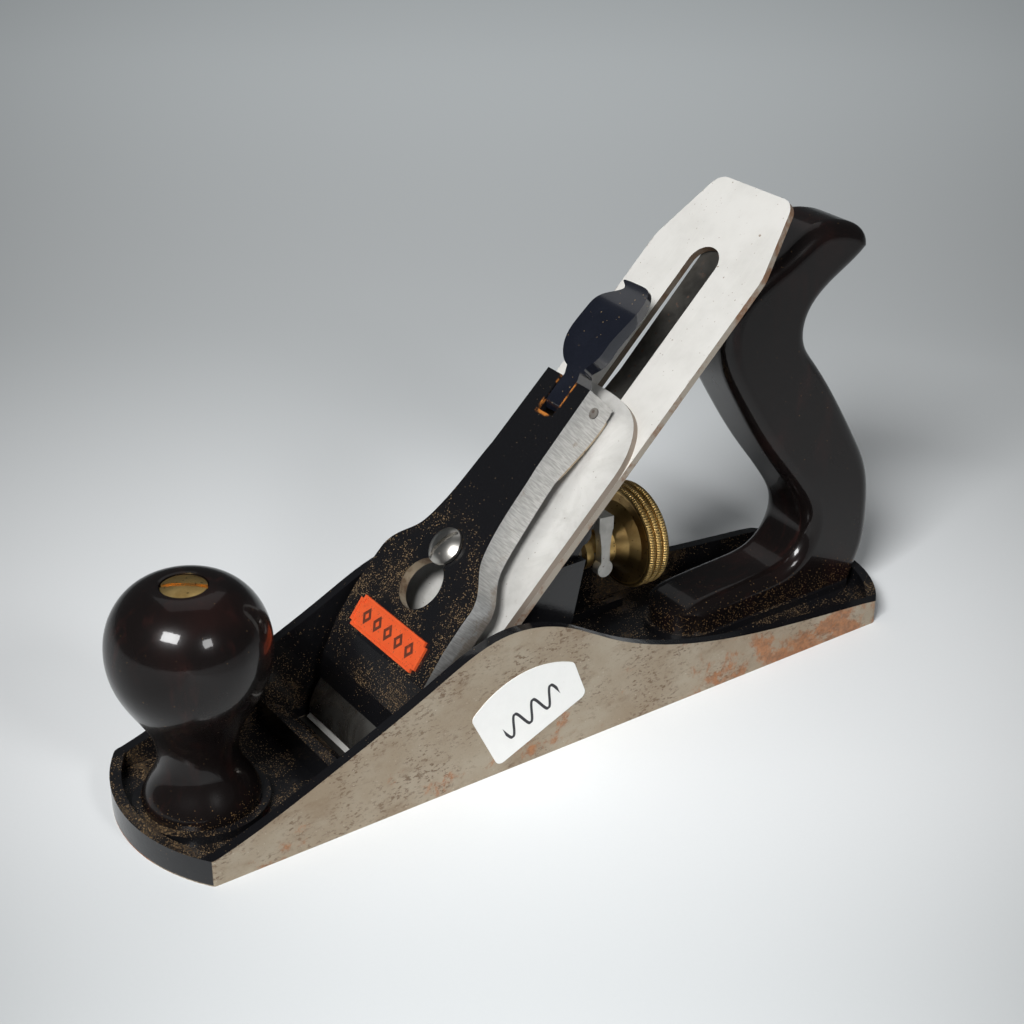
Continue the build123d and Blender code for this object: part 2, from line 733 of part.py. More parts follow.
# ---------------------------------------------------------------- double iron
taper_s = 164.7
top_half = 14.9
with BuildPart() as iron:
    with BuildSketch(bed):
        with BuildLine():
            Polyline(
                (iron_edge_s, -iron_half),
                (taper_s, -iron_half),
                (iron_top_s, -top_half),
                (iron_top_s, top_half),
                (taper_s, iron_half),
                (iron_edge_s, iron_half),
                close=True,
            )
        make_face()
        fillet(vertices().filter_by(lambda v: v.X > iron_top_s - 1), 5.0)
        fillet(vertices().filter_by(lambda v: abs(v.X - taper_s) < 1), 12.0)
        with Locations(((47.0 + 162.2) / 2, 0)):
            SlotCenterToCenter(162.2 - 47.0, 2 * slot_half, mode=Mode.SUBTRACT)
        with Locations((47.0, 0)):
            Circle(9.5, mode=Mode.SUBTRACT)
    extrude(amount=iron_t)
    # bevel ground on the side towards the bed
    with BuildSketch(bed_side):
        bevel_run = iron_t / tan(radians(bevel_angle))
        with BuildLine():
            Polyline(
                (iron_edge_s - 0.2, -0.1),
                (iron_edge_s + bevel_run, -0.1),
                (iron_edge_s - 0.2, iron_t),
                close=True,
            )
        make_face()
    extrude(amount=iron_width, both=True, mode=Mode.SUBTRACT)
save(iron, "iron")

seat = 0.02  # stacked sheets stay this far apart
cap_low = iron_t + seat
cap_high = cap_low + cap_iron_t
with BuildPart() as cap_iron:
    with BuildSketch(bed_side):
        with BuildLine():
            Spline((1.2, cap_low), (6.0, 3.1), (12.0, 4.3), (19.0, 3.5), (28.0, cap_low))
            Line((28.0, cap_low), (cap_iron_top_s, cap_low))
            Line((cap_iron_top_s, cap_low), (cap_iron_top_s, cap_high))
            Line((cap_iron_top_s, cap_high), (32.0, cap_high))
            Spline((32.0, cap_high), (21.0, 5.4), (12.5, 6.3), (5.5, 5.0), (1.2, 2.5))
            Line((1.2, 2.5), (1.2, cap_low))
        make_face()
    extrude(amount=iron_half, both=True)
    with BuildSketch(bed):
        with BuildLine():
            Polyline((0, iron_half), (0, -iron_half), (98.0, -iron_half))
            Spline((98.0, -iron_half), (108.0, -20.9), (114.5, -17.0), (cap_iron_top_s, 0),
                   (114.5, 17.0), (108.0, 20.9), (98.0, iron_half), tangents=((1, 0), (-1, 0)))
            Line((98.0, iron_half), (0, iron_half))
        make_face()
    extrude(amount=12, mode=Mode.INTERSECT)
    with BuildSketch(bed):
        with Locations((lever_screw_s, 0)):
            SlotCenterToCenter(6.0, 2 * 4.6)
        with Locations((yoke_tip_s, 0)):
            Rectangle(4.4, 9.4)
        with Locations((cap_screw_s, 0)):
            Circle(3.2 + fit)
    extrude(amount=12, mode=Mode.SUBTRACT)
save(cap_iron, "cap_iron")

with BuildPart() as cap_iron_screw:
    with BuildSketch(bed.offset(-0.1)):
        with Locations((cap_screw_s, 0)):
            Circle(6.2)
    extrude(amount=-3.0)
    with BuildSketch(bed.offset(-0.6)):
        with Locations((cap_screw_s, 0)):
            Circle(3.2)
    extrude(amount=0.6 + cap_high)
    with BuildSketch(bed.offset(-3.1)):
        with Locations((cap_screw_s, 0)):
            Rectangle(1.6, 15)
    extrude(amount=1.3, mode=Mode.SUBTRACT)
save(cap_iron_screw, "cap_iron_screw")

# ---------------------------------------------------------------- lever cap
cap_face = [(lip_s, lip_n + 0.5), (17.0, 11.2), (27.0, 14.7), (38.0, 16.4), (46.0, face_n)]
cap_waist = [(50.5, 21.6), (56.0, 19.0), (61.0, 14.6), (67.0, 12.4), (76.0, 11.0), (90.0, 9.9)]
skin_t = 2.8
keyhole_s = 48.5
spring_rivet_s = 84.0
spring_n = 7.6  # underside of the spring's flat end
spring_half = 9.0
spring_t = 0.7


def waisted_plan(inset, start_s, end_s):
    """Plan of the lever cap seen square to the bed, inset by a wall's thickness."""
    left = [(s, y - inset) for s, y in cap_waist]
    right = [(s, -y) for s, y in left]
    foot_y, top_y = 21.8 - inset, 9.3 - inset
    with BuildSketch() as plan:
        with BuildLine():
            Line((start_s, -foot_y), right[0])
            Spline(*right)
            Polyline(right[-1], (end_s, -top_y), (end_s, top_y), left[-1])
            Spline(*left[::-1])
            Polyline(left[0], (start_s, foot_y), (start_s, -foot_y))
        make_face()
    return plan.sketch


with BuildPart() as cap_hollow:
    with BuildSketch(bed_side):
        with BuildLine():
            Polyline(
                (21.0, 0),
                (21.0, 8.6),
                (27.0, 14.7 - skin_t),
                (38.0, 16.4 - skin_t),
                (46.0, face_n - skin_t),
                (cheek_end_s - 3, face_n - skin_t),
                (cheek_end_s - 3, 0),
                close=True,
            )
        make_face()
    extrude(amount=iron_half, both=True)
    with BuildSketch(bed):
        add(waisted_plan(3.4, 15.0, cheek_end_s + 5))
    extrude(amount=30, mode=Mode.INTERSECT)

with BuildPart() as lever_cap:
    with BuildSketch(bed_side):
        with BuildLine():
            Polyline((lip_s, lip_n), *cap_face, (cheek_end_s, face_n), (cheek_end_s, 5.9))
            Spline((cheek_end_s, 5.9), (108.0, 5.4), (98.0, 6.7), (90.0, 8.0), (76.0, 7.9),
                   (62.0, 8.6), (52.0, 9.2), (40.0, 8.6))
            Line((40.0, 8.6), (lip_s, lip_n))
        make_face()
    extrude(amount=iron_half, both=True)
    with BuildSketch(bed):
        add(waisted_plan(0, lip_s - 1, cheek_end_s))
    extrude(amount=30, mode=Mode.INTERSECT)
    add(cap_hollow.part, mode=Mode.SUBTRACT)
    # boss that takes the spring's rivet
    with BuildSketch(bed.offset(spring_n + spring_t + 0.05)):
        with Locations((spring_rivet_s, 0)):
            Circle(3.2)
    extrude(amount=face_n - skin_t - spring_n)
    # keyhole: the round part passes the screw's head, the slot holds its shank
    with BuildSketch(bed.offset(3)):
        with Locations((keyhole_s, 0)):
            Circle(7.4)
        with Locations(((keyhole_s + lever_screw_s) / 2, 0)):
            SlotCenterToCenter(lever_screw_s - keyhole_s, 2 * 3.4)
    extrude(amount=30, mode=Mode.SUBTRACT)
    # notch of the cam lever, and its pin
    with BuildSketch(bed):
        with Locations((cheek_end_s, 0)):
            Rectangle(22.0, 2 * notch_half)
    extrude(amount=30, mode=Mode.SUBTRACT)
    with BuildSketch(Plane(origin=bed_side.origin, x_dir=(1, 0, 1), z_dir=(0, -1, 0))):
        with Locations((cam_pin_s, cam_pin_n)):
            Circle(1.6)
    extrude(amount=20, both=True, mode=Mode.SUBTRACT)
    with BuildSketch(bed.offset(5)):
        with Locations((spring_rivet_s, 0)):
            Circle(1.3)
    extrude(amount=8.0, mode=Mode.SUBTRACT)
save(lever_cap, "lever_cap")

head_x, head_z = bed_point(lever_screw_s, face_n + 0.3)
head_side = Plane(origin=(head_x, 0, head_z), x_dir=(1, 0, 1), z_dir=(0, -1, 0))
with BuildPart() as lever_cap_screw:
    with BuildSketch(bed.offset(-plate_t)):
        with Locations((lever_screw_s, 0)):
            Circle(3.0)
    extrude(amount=plate_t + face_n + 0.5)
    with BuildSketch(head_side):
        with BuildLine():
            Polyline((0, 2.6), (0, 0), (5.3, 0), (5.3, 0.9))
            ThreePointArc((5.3, 0.9), (3.0, 2.2), (0, 2.6))
        make_face()
    revolve(axis=Axis(head_side.origin, bed.z_dir))
    with BuildSketch(bed.offset(face_n + 3.4)):
        with Locations((lever_screw_s, 0)):
            Rectangle(12, 1.2, rotation=-18)
    extrude(amount=-2.0, mode=Mode.SUBTRACT)
save(lever_cap_screw, "lever_cap_screw")

with BuildPart() as lever_cap_spring:
    with BuildSketch(bed_side):
        with BuildLine():
            for n_shift in (0, spring_t):
                Line((81.0, spring_n + n_shift), (86.5, spring_n + n_shift))
                Spline(
                    (86.5, spring_n + n_shift),
                    (92.0, 6.6 + n_shift),
                    (99.0, 5.3 + n_shift),
                    (107.0, 4.4 + n_shift),
                    (111.4, 4.6 + n_shift),
                    tangents=((1, 0), (1, 0.15)),
                )
            Line((81.0, spring_n), (81.0, spring_n + spring_t))
            Line((111.4, 4.6), (111.4, 4.6 + spring_t))
        make_face()
    extrude(amount=spring_half, both=True)
    # tongue with the rivet, then the wide blade under the cap's walls
    with BuildSketch(bed):
        with Locations((86.0, 0)):
            Rectangle(11.0, 11.0)
        with Locations((101.5, 0)):
            Rectangle(20.0, 2 * spring_half)
    extrude(amount=20, mode=Mode.INTERSECT)
    with BuildSketch(bed.offset(5)):
        with Locations((spring_rivet_s, 0)):
            Circle(1.3)
    extrude(amount=8.0, mode=Mode.SUBTRACT)
save(lever_cap_spring, "lever_cap_spring")

with BuildPart() as spring_rivet:
    with BuildSketch(bed.offset(spring_n - 0.5)):
        with Locations((spring_rivet_s, 0)):
            Circle(1.3)
    extrude(amount=4.2)
    with BuildSketch(bed.offset(spring_n - 0.05)):
        with Locations((spring_rivet_s, 0)):
            Circle(2.4)
    extrude(amount=-0.9)
save(spring_rivet, "spring_rivet")

thumb_half = 8.4
with BuildPart() as cam_lever:
    # domed thumb plate, cut to its oval plan
    with BuildSketch(bed_side):
        with BuildLine():
            front = Spline((117.0, 17.4), (124.0, 19.6), (132.0, 19.4), (140.0, 17.4), (146.6, 14.2))
            back = Spline((146.2, 13.2), (139.0, 14.8), (130.0, 16.0), (122.0, 15.4), (117.0, 14.3))
            Line(front @ 1, back @ 0)
            Line(back @ 1, front @ 0)
        make_face()
    extrude(amount=thumb_half + 2, both=True)
    with BuildSketch(bed):
        with BuildLine():
            plate_edge = [(118.6, 4.5), (121.5, 6.8), (127.0, 8.1), (133.0, thumb_half), (139.5, 7.6), (144.2, 4.8)]
            mirrored = [(s, -y) for s, y in plate_edge[::-1]]
            Spline((117.6, 0), *plate_edge, (146.4, 0), tangents=((0, 1), (0, -1)))
            Spline((146.4, 0), *mirrored, (117.6, 0), tangents=((0, -1), (0, 1)))
        make_face()
    extrude(amount=40, mode=Mode.INTERSECT)
    # neck and cam, which fill the notch almost flush with the face
    with BuildSketch(bed_side):
        with BuildLine():
            Polyline((cam_pin_s, cam_pin_n), (105.7, 14.8), (107.4, 16.5), (115.6, 16.5), (118.6, 18.0),
                     (126.0, 18.6), (126.0, 16.6), (119.0, 13.6), (115.6, 9.4), close=True)
        make_face()
        with Locations((cam_pin_s, cam_pin_n)):
            Circle(cam_hub_radius)
    extrude(amount=notch_half - 0.3, both=True)
    with BuildSketch(bed_side):
        with Locations((cam_pin_s, cam_pin_n)):
            Circle(1.6 + fit)
    extrude(amount=20, both=True, mode=Mode.SUBTRACT)
save(cam_lever, "cam_lever")

with BuildPart() as cam_pin:
    with BuildSketch(bed_side):
        with Locations((cam_pin_s, cam_pin_n)):
            Circle(1.6)
    extrude(amount=9.2, both=True)
save(cam_pin, "cam_pin")

# blank inset panel with notched corners, on the sloping part of the face
panel_from, panel_to = (28.3, 14.9), (37.4, 16.3)
panel_mid = ((panel_from[0] + panel_to[0]) / 2, (panel_from[1] + panel_to[1]) / 2)
panel_x, panel_z = bed_point(*panel_mid)
slope_x = (panel_to[0] - panel_from[0]) - (panel_to[1] - panel_from[1])
slope_z = (panel_to[0] - panel_from[0]) + (panel_to[1] - panel_from[1])
panel_plane = Plane(origin=(panel_x, 0, panel_z), x_dir=(slope_x, 0, slope_z), z_dir=(-slope_z, 0, slope_x))
with BuildPart() as name_panel:
    with BuildSketch(panel_plane.offset(0.05)):
        Rectangle(9.0, 32.0)
        with GridLocations(9.0, 32.0, 2, 2):
            Rectangle(2.4, 2.4, mode=Mode.SUBTRACT)
    extrude(amount=0.8)
    with BuildSketch(panel_plane.offset(0.85)):
        Rectangle(7.4, 30.4)
        with GridLocations(7.4, 30.4, 2, 2):
            Rectangle(2.6, 2.6, mode=Mode.SUBTRACT)
    extrude(amount=-0.3, mode=Mode.SUBTRACT)
save(name_panel, "name_panel")

# ---------------------------------------------------------------- paper label on the left cheek
label_plane = Plane(origin=(0, -half_width, 0), x_dir=(1, 0, 0), z_dir=(0, -1, 0))
with BuildPart() as lot_label:
    with BuildSketch(label_plane):
        with BuildLine():
            Polyline(
                (toe_x + 84.3, 19.8),
                (toe_x + 92.7, 2.4),
                (toe_x + 121.3, 14.6),
                (toe_x + 117.0, 26.0),
            )
            ThreePointArc((toe_x + 117.0, 26.0), (toe_x + 103.0, 28.9), (toe_x + 84.3, 19.8))
        make_face()
        fillet(vertices(), 2.0)
    extrude(amount=0.2)
save(lot_label, "lot_label")
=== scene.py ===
"""Studio picture of the bench plane: camera, floor, light, and a worn workshop finish for every node."""
import math

import bmesh
import bpy
from mathutils import Matrix, Vector

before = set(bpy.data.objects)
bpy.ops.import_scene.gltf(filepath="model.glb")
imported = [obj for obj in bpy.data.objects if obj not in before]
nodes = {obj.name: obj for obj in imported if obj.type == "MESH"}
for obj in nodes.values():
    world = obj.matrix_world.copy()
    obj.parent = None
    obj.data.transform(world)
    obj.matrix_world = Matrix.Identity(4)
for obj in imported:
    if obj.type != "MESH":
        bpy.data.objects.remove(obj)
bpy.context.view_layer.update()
scene = bpy.context.scene

# ---------------------------------------------------------------- driving sizes, in metres
S = math.sqrt(0.5)  # sine and cosine of the 45 degree bed
BED_FOOT_X = -0.0564
NUT_AXIS_Z = 0.0402  # height of the depth nut's axis
CHEEK_INNER, CHEEK_OUTER = 0.0248, 0.0280  # from the middle plane
MOUTH_X = -0.0630

# ---------------------------------------------------------------- camera
AZ, EL, ROLL = math.radians(-34.98), math.radians(27.63), math.radians(0.38)
back = Vector((math.sin(AZ) * math.cos(EL), -math.cos(AZ) * math.cos(EL), math.sin(EL)))
right = Vector((math.cos(AZ), math.sin(AZ), 0))
up = back.cross(right)
cam_right = right * math.cos(ROLL) + up * math.sin(ROLL)
cam_up = up * math.cos(ROLL) - right * math.sin(ROLL)
target = Vector((-0.00215, 0.00412, 0.05612))
cam = bpy.data.objects.new("camera", bpy.data.cameras.new("camera"))
scene.collection.objects.link(cam)
cam.matrix_world = Matrix.Translation(target + back * 0.50411) @ Matrix(
    (cam_right, cam_up, back)).transposed().to_4x4()
cam.data.lens = 65.59
cam.data.sensor_width = 36
cam.data.clip_start, cam.data.clip_end = 0.01, 20
scene.camera = cam
scene.view_settings.view_transform = "Standard"


# ---------------------------------------------------------------- node graph helper
class Finish:
    """A material built node by node in the part's own coordinates, in metres."""

    def __init__(self, name, **sockets):
        self.mat = bpy.data.materials.new(name)
        self.mat.use_nodes = True
        self.tree = self.mat.node_tree
        self.tree.nodes.clear()
        out = self.tree.nodes.new("ShaderNodeOutputMaterial")
        self.bsdf = self.tree.nodes.new("ShaderNodeBsdfPrincipled")
        self.tree.links.new(self.bsdf.outputs[0], out.inputs[0])
        coord = self.tree.nodes.new("ShaderNodeTexCoord")
        self.pos, self.nrm = coord.outputs["Object"], coord.outputs["Normal"]
        self.set(self.bsdf, **sockets)

    def set(self, node, **sockets):
        for key, value in sockets.items():
            socket = node.inputs[key.replace("_", " ")]
            if isinstance(value, bpy.types.NodeSocket):
                self.tree.links.new(value, socket)
            elif socket.type == "RGBA" and len(value) == 3:
                socket.default_value = (*value, 1)
            else:
                socket.default_value = value
        return node

    def shade(self, **sockets):
        self.set(self.bsdf, **sockets)

    def axis(self, vector, letter):
        node = self.tree.nodes.new("ShaderNodeSeparateXYZ")
        self.tree.links.new(vector, node.inputs[0])
        return node.outputs["XYZ".index(letter)]

    def math(self, op, a, b=0.0, c=0.0, clamp=False):
        node = self.tree.nodes.new("ShaderNodeMath")
        node.operation, node.use_clamp = op, clamp
        for i, value in enumerate((a, b, c)):
            if isinstance(value, bpy.types.NodeSocket):
                self.tree.links.new(value, node.inputs[i])
            else:
                node.inputs[i].default_value = value
        return node.outputs[0]

    def step(self, value, low, high):
        """0 below low, 1 above high, smooth in between; low may be the larger."""
        node = self.tree.nodes.new("ShaderNodeMapRange")
        node.interpolation_type = "SMOOTHSTEP"
        flip = low > high
        self.tree.links.new(value, node.inputs["Value"])
        node.inputs["From Min"].default_value = min(low, high)
        node.inputs["From Max"].default_value = max(low, high)
        node.inputs["To Min"].default_value = 1.0 if flip else 0.0
        node.inputs["To Max"].default_value = 0.0 if flip else 1.0
        return node.outputs[0]

    def scaled(self, vector, scale, turn=(0, 0, 0)):
        node = self.tree.nodes.new("ShaderNodeMapping")
        self.tree.links.new(vector, node.inputs["Vector"])
        node.inputs["Scale"].default_value = scale
        node.inputs["Rotation"].default_value = turn
        return node.outputs[0]

    def noise(self, scale, detail=3.0, rough=0.55, vector=None, distortion=0.0, shift=0.0):
        node = self.tree.nodes.new("ShaderNodeTexNoise")
        node.noise_dimensions = "4D"
        self.tree.links.new(vector or self.pos, node.inputs["Vector"])
        node.inputs["W"].default_value = shift
        node.inputs["Scale"].default_value = scale
        node.inputs["Detail"].default_value = detail
        node.inputs["Roughness"].default_value = rough
        node.inputs["Distortion"].default_value = distortion
        return node.outputs[0]

    def flecks(self, scale, density, size, vector=None, shift=0.0):
        """Scattered irregular specks: a share of the cells holds one, each of its own size."""
        vector = vector or self.pos
        wobble = self.tree.nodes.new("ShaderNodeTexNoise")
        self.tree.links.new(vector, wobble.inputs["Vector"])
        wobble.inputs["Scale"].default_value = scale * 2.2
        add = self.tree.nodes.new("ShaderNodeVectorMath")
        add.operation = "MULTIPLY_ADD"
        self.tree.links.new(wobble.outputs["Color"], add.inputs[0])
        add.inputs[1].default_value = (0.4 / scale,) * 3
        self.tree.links.new(vector, add.inputs[2])
        cells = self.tree.nodes.new("ShaderNodeTexVoronoi")
        cells.voronoi_dimensions = "4D"
        self.tree.links.new(add.outputs[0], cells.inputs["Vector"])
        cells.inputs["Scale"].default_value = scale
        cells.inputs["W"].default_value = shift
        tint = self.tree.nodes.new("ShaderNodeSeparateColor")
        self.tree.links.new(cells.outputs["Color"], tint.inputs[0])
        reach = self.math("MULTIPLY", self.math("ADD", tint.outputs[1], 0.25), size)
        inside = self.math("LESS_THAN", cells.outputs["Distance"], reach)
        here = self.math("LESS_THAN", tint.outputs[0], density)
        return self.math("MULTIPLY", inside, here)

    def blend(self, factor, a, b):
        node = self.tree.nodes.new("ShaderNodeMix")
        node.data_type = "RGBA"
        for index, value in ((0, factor), (6, a), (7, b)):
            if isinstance(value, bpy.types.NodeSocket):
                self.tree.links.new(value, node.inputs[index])
            elif index == 0:
                node.inputs[0].default_value = value
            else:
                node.inputs[index].default_value = (*value, 1)
        return node.outputs[2]

    def lerp(self, factor, a, b):
        node = self.tree.nodes.new("ShaderNodeMix")
        for index, value in ((0, factor), (2, a), (3, b)):
            if isinstance(value, bpy.types.NodeSocket):
                self.tree.links.new(value, node.inputs[index])
            else:
                node.inputs[index].default_value = value
        return node.outputs[0]

    def bump(self, height, strength, distance, under=None):
        node = self.tree.nodes.new("ShaderNodeBump")
        self.tree.links.new(height, node.inputs["Height"])
        node.inputs["Strength"].default_value = strength
        node.inputs["Distance"].default_value = distance
        if under is not None:
            self.tree.links.new(under, node.inputs["Normal"])
        self.tree.links.new(node.outputs[0], self.bsdf.inputs["Normal"])
        return node.outputs[0]

    def both(self, *masks):
        result = masks[0]
        for mask in masks[1:]:
            result = self.math("MULTIPLY", result, mask)
        return result

    def either(self, a, b):
        return self.math("MAXIMUM", a, b)

    def flip(self, mask):
        return self.math("SUBTRACT", 1.0, mask)


def dress(finish, *names):
    for name in names:
        obj = nodes[name] if name in nodes else bpy.data.objects[name]
        obj.data.materials.clear()
        obj.data.materials.append(finish.mat)


BLACK = (0.0065, 0.0065, 0.0075)
SAWDUST = (0.135, 0.078, 0.032)
SAWDUST_PALE = (0.27, 0.18, 0.085)
RUST_DARK = (0.085, 0.032, 0.014)


# ---------------------------------------------------------------- black japanning with sawdust
def japanning(f, amount=1.0, where=None, wall=None):
    """Colour, roughness and height of glossy black stoving enamel with fine sawdust in drifts."""
    facing_up = f.step(f.axis(f.nrm, "Z"), 0.10, 0.60)
    if wall is not None:
        facing_up = f.either(facing_up, wall)
    drift = f.step(f.noise(62, 4, 0.62), 0.40, 0.72)
    pile = f.both(facing_up, drift)
    if where is not None:
        pile = f.both(pile, where)
    crowd = f.math("MULTIPLY", pile, 0.85 * amount)
    fine = f.flecks(3900, crowd, 0.62)
    grains = f.flecks(2300, f.math("MULTIPLY", crowd, 0.30), 0.52, shift=3.0)
    thin = f.flecks(3000, 0.03 * amount, 0.40, shift=11.0)
    dust = f.either(f.either(fine, grains), f.math("MULTIPLY", thin, 0.5))
    colour = f.blend(f.step(f.noise(2900, 2), 0.42, 0.62), SAWDUST, SAWDUST_PALE)
    base = f.blend(f.math("MULTIPLY", pile, 0.20 * amount), BLACK, (0.060, 0.038, 0.020))
    return f.blend(f.math("MULTIPLY", dust, 0.85), base, colour), dust, pile


def make_casting():
    f = Finish("japanned_casting", Specular_IOR_Level=0.5, IOR=1.5)
    x, y, z = (f.axis(f.pos, letter) for letter in "XYZ")
    inside = f.step(f.math("ABSOLUTE", y), CHEEK_INNER + 0.0005, CHEEK_INNER)
    far_wall = f.both(f.step(y, 0.0245, 0.0249), f.step(z, 0.034, 0.010),
                      f.step(f.axis(f.nrm, "Y"), -0.5, -0.9))
    black, dust, pile = japanning(f, 0.9, f.either(inside, far_wall), far_wall)
    side = f.step(f.math("ABSOLUTE", y), CHEEK_OUTER - 0.00015, CHEEK_OUTER)
    side = f.both(side, f.step(f.math("ABSOLUTE", f.axis(f.nrm, "Y")), 0.75, 0.9))
    sole = f.step(z, 0.0004, 0.0002)
    ground = f.either(side, sole)
    # ground iron: warm grey with fine brown pits in clusters and orange rust low down
    mottle = f.noise(34, 5, 0.6)
    grime = f.noise(150, 5, 0.66, f.scaled(f.pos, (0.6, 1, 1.3)), shift=2.0)
    iron = f.blend(f.step(mottle, 0.34, 0.68), (0.275, 0.212, 0.142), (0.365, 0.315, 0.240))
    iron = f.blend(f.math("MULTIPLY", f.step(grime, 0.50, 0.70), 0.50), iron, (0.195, 0.132, 0.078))
    low = f.step(z, 0.022, 0.001)
    heel = f.step(x, -0.03, 0.11)
    wear = f.math("ADD", f.math("MULTIPLY", low, 0.10), f.math("MULTIPLY", heel, 0.07))
    cluster = f.step(f.noise(70, 4, 0.6, shift=5.0), 0.40, 0.60)
    streaks = f.step(f.noise(1250, 4, 0.7, f.scaled(f.pos, (0.5, 1, 1)), shift=7.0), 0.52, 0.60)
    points = f.flecks(3200, 0.16, 0.40, shift=8.0)
    marks = f.math("ADD", f.math("MULTIPLY", f.both(streaks, cluster), 0.80),
                   f.math("MULTIPLY", points, 0.30), clamp=True)
    iron = f.blend(marks, iron, (0.120, 0.066, 0.034))
    bright = f.flecks(3000, 0.07, 0.34, f.scaled(f.pos, (0.6, 1, 1)), shift=12.0)
    iron = f.blend(f.math("MULTIPLY", bright, 0.5), iron, (0.55, 0.50, 0.42))
    field = f.math("ADD", f.noise(52, 7, 0.74, shift=1.7, distortion=0.3), wear)
    rusty = f.step(field, 0.615, 0.700)
    rust = f.blend(f.step(f.noise(620, 5, 0.7), 0.3, 0.7), (0.170, 0.062, 0.022), (0.420, 0.160, 0.055))
    iron = f.blend(f.math("MULTIPLY", rusty, 0.78), iron, rust)
    f.shade(Base_Color=f.blend(ground, black, iron))
    f.shade(Metallic=f.math("MULTIPLY", ground, f.math("MULTIPLY_ADD", rusty, -0.24, 0.26)))
    enamel = f.lerp(f.math("ADD", dust, f.math("MULTIPLY", pile, 0.3), clamp=True), 0.16, 0.75)
    metal = f.lerp(rusty, f.lerp(f.step(mottle, 0.3, 0.7), 0.44, 0.56), 0.80)
    f.shade(Roughness=f.lerp(ground, enamel, metal))
    cast = f.noise(300, 4, 0.6)
    first = f.bump(f.lerp(ground, cast, f.noise(1600, 3, 0.6)), 0.16, 0.0004)
    f.bump(f.math("ADD", dust, f.math("MULTIPLY", f.both(marks, ground), -0.6)), 0.35, 0.0002, first)
    return f


def make_enamel(name, amount, gloss=0.20):
    """The same enamel on a part that is japanned all over."""
    f = Finish(name, IOR=1.5)
    black, dust, pile = japanning(f, amount)
    f.shade(Base_Color=black)
    dusty = f.math("ADD", dust, f.math("MULTIPLY", pile, 0.35), clamp=True)
    f.shade(Roughness=f.lerp(dusty, gloss, 0.75))
    first = f.bump(f.noise(420, 4, 0.6), 0.2, 0.0003)
    f.bump(dust, 0.5, 0.0002, first)
    return f


# ---------------------------------------------------------------- dark varnished hardwood
def make_wood(name, grain_scale, dusty_below):
    f = Finish(name, IOR=1.5, Specular_IOR_Level=0.12, Coat_Weight=0.38, Coat_Roughness=0.05,
               Coat_IOR=1.5)
    grain = f.noise(1, 5, 0.62, f.scaled(f.pos, grain_scale), distortion=0.25)
    warm = f.step(grain, 0.52, 0.74)
    base = f.blend(warm, (0.0060, 0.0044, 0.0042), (0.0165, 0.0070, 0.0060))
    cloud = f.math("MULTIPLY", f.step(f.noise(38, 3), 0.52, 0.72), 0.5)
    base = f.blend(cloud, base, (0.018, 0.0075, 0.0065))
    specks = f.flecks(1900, 0.03, 0.30)
    low = f.step(f.axis(f.pos, "Z"), dusty_below + 0.006, dusty_below - 0.002)
    grit = f.flecks(3400, f.math("MULTIPLY", low, 0.34), 0.55, shift=5.0)
    dust = f.either(f.math("MULTIPLY", specks, 0.6), grit)
    f.shade(Base_Color=f.blend(dust, base, SAWDUST))
    f.shade(Roughness=f.lerp(dust, f.lerp(f.noise(60, 4), 0.20, 0.32), 0.8))
    first = f.bump(grain, 0.05, 0.0003)
    dents = f.math("MULTIPLY", f.flecks(520, 0.12, 0.3, shift=2.0), -0.4)
    f.bump(f.either(dust, dents), 0.25, 0.0002, first)
    return f


# ---------------------------------------------------------------- brass
def make_brass(name, knurled):
    f = Finish(name, Metallic=1.0)
    tarnish = f.noise(160, 4, 0.65)
    base = f.blend(f.step(tarnish, 0.35, 0.7), (0.80, 0.56, 0.22), (0.52, 0.34, 0.12))
    dirt = f.flecks(1400, 0.25, 0.4)
    base = f.blend(f.math("MULTIPLY", dirt, 0.7), base, (0.07, 0.035, 0.012))
    if knurled:
        y, z = f.axis(f.pos, "Y"), f.math("SUBTRACT", f.axis(f.pos, "Z"), NUT_AXIS_Z)
        reach = f.math("SQRT", f.math("ADD", f.math("MULTIPLY", y, y), f.math("MULTIPLY", z, z)))
        turn = f.math("ARCTAN2", z, y)
        teeth = f.math("MULTIPLY_ADD", f.math("SINE", f.math("MULTIPLY", turn, 120.0)), 0.5, 0.5)
        rim = f.step(reach, 0.0145, 0.0148)
        groove = f.both(f.flip(f.step(reach, 0.01425, 0.01475)), f.step(reach, 0.0136, 0.0140))
        cone = f.both(f.step(reach, 0.0138, 0.0132), f.step(f.axis(f.nrm, "X"), -0.15, -0.35))
        base = f.blend(f.math("MULTIPLY", f.both(rim, f.flip(teeth)), 0.65), base, (0.13, 0.07, 0.02))
        base = f.blend(f.math("MULTIPLY", groove, 0.7), base, (0.10, 0.05, 0.016))
        base = f.blend(f.math("MULTIPLY", cone, 0.6), base, (0.14, 0.075, 0.028))
        f.bump(f.math("MULTIPLY", rim, teeth), 0.8, 0.0003)
    else:
        f.bump(f.noise(900, 3), 0.12, 0.0002)
    f.shade(Base_Color=base, Roughness=f.lerp(f.step(tarnish, 0.35, 0.7), 0.30, 0.48))
    return f


